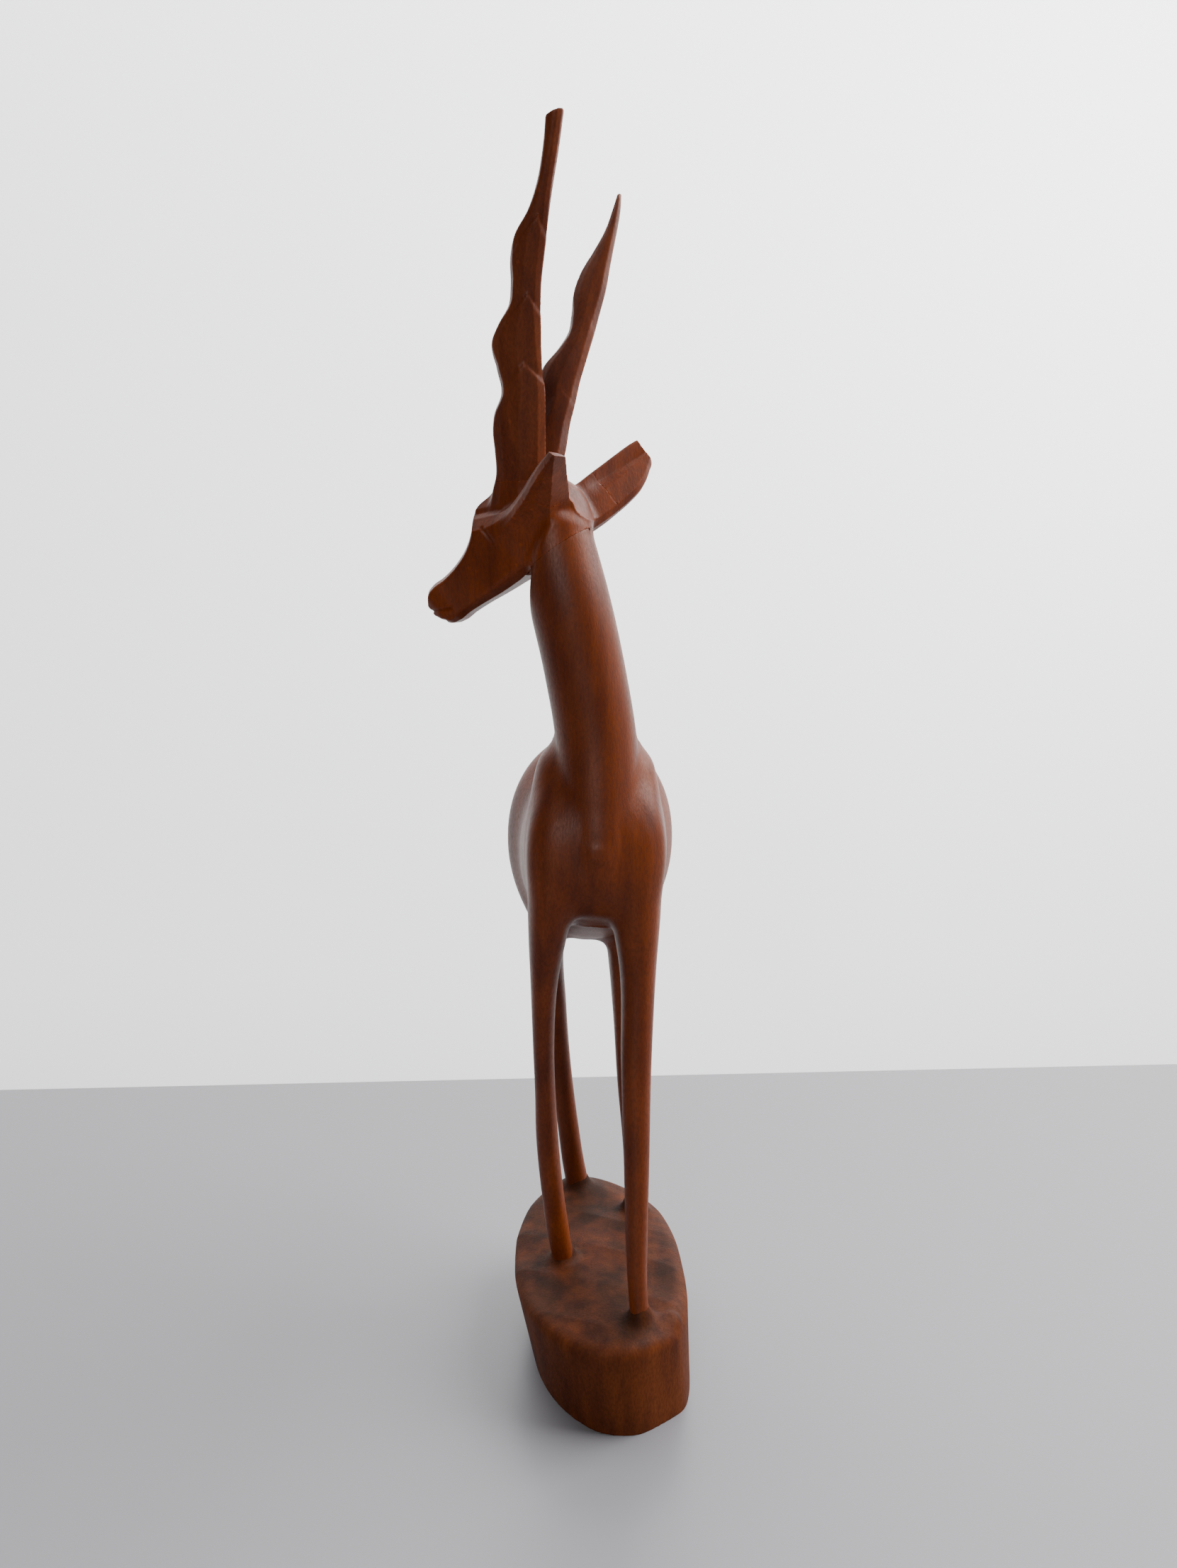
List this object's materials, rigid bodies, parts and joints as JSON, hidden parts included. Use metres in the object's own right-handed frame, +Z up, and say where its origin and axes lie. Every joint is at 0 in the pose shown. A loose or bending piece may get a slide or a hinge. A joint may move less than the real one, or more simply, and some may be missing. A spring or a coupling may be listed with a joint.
{
  "type": "carved wooden antelope figure",
  "caption": "Hand-carved hardwood antelope standing on a domed oval plinth, head turned to its right, with long wavy horns and leaf-shaped ears.",
  "frame": {"origin": "middle of the plinth's underside, on the surface that it stands on", "axes": "+Z up, the animal looks towards -Y with its trunk along Y, and +X is the animal's left; the head is turned to its right, towards -X"},
  "size_m": [0.0841, 0.1219, 0.388],
  "materials": {
    "plinth_wood": "reddish-brown hardwood, knife-cut, worn oil finish",
    "body_wood": "reddish-brown hardwood, sanded smooth, satin varnish",
    "head_wood": "reddish-brown hardwood, knife facets, satin varnish",
    "horn_wood": "dark reddish-brown hardwood, knife facets, satin varnish",
    "peg_wood": "pale whittled hardwood, bare"
  },
  "bodies": {
    "root": {"plinth": "plinth_wood", "body": "body_wood", "head": "head_wood", "left_horn": "horn_wood", "right_horn": "horn_wood", "left_ear": "head_wood", "right_ear": "head_wood", "neck_dowel": "peg_wood", "left_horn_peg": "peg_wood", "right_horn_peg": "peg_wood", "left_ear_peg": "peg_wood", "right_ear_peg": "peg_wood", "front_left_foot_peg": "peg_wood", "front_right_foot_peg": "peg_wood", "hind_left_foot_peg": "peg_wood", "hind_right_foot_peg": "peg_wood"}
  },
  "joints": []
}
